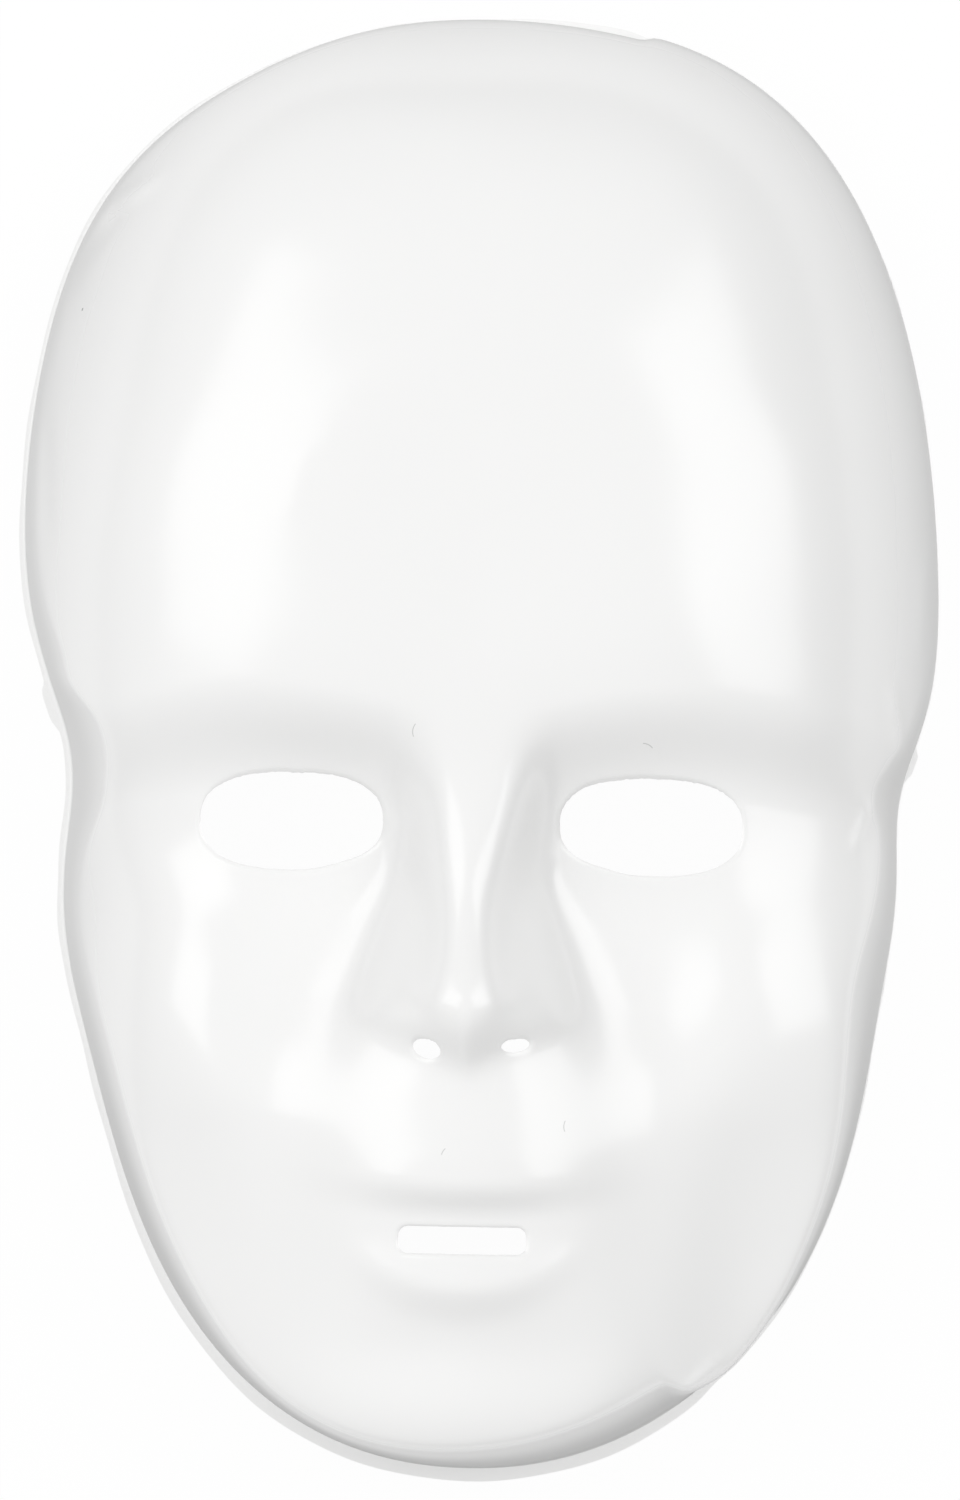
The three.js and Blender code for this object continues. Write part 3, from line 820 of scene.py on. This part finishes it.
# %% Floor
GLOW = 0.95
floor_mesh = bpy.data.meshes.new("floor")
FLOOR_HALF = 4.0
corners = [(-FLOOR_HALF, -FLOOR_HALF, 0), (FLOOR_HALF, -FLOOR_HALF, 0)]
corners += [(FLOOR_HALF, FLOOR_HALF, 0), (-FLOOR_HALF, FLOOR_HALF, 0)]
floor_mesh.from_pydata(corners, [], [(0, 1, 2, 3)])
floor = bpy.data.objects.new("floor", floor_mesh)
bpy.context.scene.collection.objects.link(floor)
board = Finish("light_table")
board.set(Base_Color=(0.03, 0.03, 0.03, 1), Roughness=0.9)
board.set(Emission_Color=(1, 1, 1, 1), Emission_Strength=GLOW)
floor_mesh.materials.append(board.material)
print("floor:", 2 * FLOOR_HALF, "m square")

# %% [markdown]
# Two big softboxes give the long soft highlights of the forehead, the cheeks and the upper lip.
# A glossy form shows a lamp only where it leans half way towards it, so the lamps' directions
# and sizes were found from how far each highlight reaches on the forehead.

# %% Studio light
AIM = Vector((0, 0, 0.05))
BOX_ELEVATION, BOX_DISTANCE, BOX_HEIGHT = 19, 2.4, 1.46
# Each softbox: its azimuth in degrees, its width in metres and how bright it is
SOFTBOXES = {"left_softbox": (-37.5, 1.62, 1.5), "right_softbox": (42.1, 1.84, 1.75)}


def softbox(name, azimuth, width, radiance):
    """An area light that faces the mask. Azimuth is from straight up, to the right."""
    light = bpy.data.lights.new(name, "AREA")
    light.shape = "RECTANGLE"
    light.size, light.size_y = width, BOX_HEIGHT
    light.energy = radiance * math.pi * width * BOX_HEIGHT
    lamp = bpy.data.objects.new(name, light)
    bpy.context.scene.collection.objects.link(lamp)
    a, e = math.radians(azimuth), math.radians(BOX_ELEVATION)
    towards = Vector((math.sin(a) * math.cos(e), math.sin(e), math.cos(a) * math.cos(e)))
    lamp.location = AIM + towards * BOX_DISTANCE
    lamp.rotation_euler = towards.to_track_quat("Z", "Y").to_euler()
    return lamp


for name, (azimuth, width, radiance) in SOFTBOXES.items():
    lamp = softbox(name, azimuth, width, radiance)
    print(name, "at", [round(v, 2) for v in lamp.location])

# %% [markdown]
# The rest of the light is the white room. It is bright above and falls off into shadow near the
# floor, sooner on the right. That fall-off is what shades the sides of the mask: a room that is
# white all over would leave them as bright as the front.

# %% Room light
UP_IN_THE_ROOM = (-0.21, -0.04, 0.97)
DARK_BELOW, WHITE_ABOVE = 0.0, 0.55
SHADOW, WHITE = 0.12, 0.88
world = bpy.data.worlds.new("studio")
bpy.context.scene.world = world
world.use_nodes = True
room = Nodes(world.node_tree)
direction = room.node("SeparateXYZ", Vector=room.node("TexCoord", output=0))
parts = [Value(room.tree, direction.socket.node.outputs[i]) for i in range(3)]
height_in_room = sum(part * share for part, share in zip(parts, UP_IN_THE_ROOM))
room_light = room.node(
    "MapRange", smooth, Value=height_in_room,
    From_Min=DARK_BELOW, From_Max=WHITE_ABOVE, To_Min=SHADOW, To_Max=WHITE,
)
background = world.node_tree.nodes["Background"]
room.put(background.inputs["Strength"], room_light)
background.inputs["Color"].default_value = (1, 1, 1, 1)
print("room light from", SHADOW, "to", WHITE)

# %% [markdown]
# The photo was taken straight on, and the mask is lying here, so the camera looks straight down
# from a metre and a half. The mask is turned about a degree in the view and a little off its
# middle. The lens is worked out from the frame's long side, so that the scale is known.

# %% Camera
CAMERA_HEIGHT = 1500.0
FRAME_PIXELS = (960, 1500)
MASK_LENGTH, LENGTH_IN_PIXELS = 255, 1464
MM_PER_PIXEL = MASK_LENGTH / LENGTH_IN_PIXELS
TURN = math.radians(1.1)
OFFSET = (-1.2, 0.35)
camera = bpy.data.objects.new("camera", bpy.data.cameras.new("camera"))
bpy.context.scene.collection.objects.link(camera)
aim = np.array([-OFFSET[0], -OFFSET[1]])
turned = np.array([
    aim[0] * math.cos(TURN) - aim[1] * math.sin(TURN),
    aim[0] * math.sin(TURN) + aim[1] * math.cos(TURN),
])
camera.location = Vector((*(turned - MIDDLE), CAMERA_HEIGHT)) * MM
camera.rotation_euler = (0, 0, TURN)
long_side = FRAME_PIXELS[1] * MM_PER_PIXEL
camera.data.lens = camera.data.sensor_width * CAMERA_HEIGHT / long_side
camera.data.clip_end = 20
bpy.context.scene.camera = camera
bpy.context.scene.view_settings.view_transform = "Standard"
print("lens:", round(camera.data.lens, 1), "mm at", CAMERA_HEIGHT, "mm above the table")
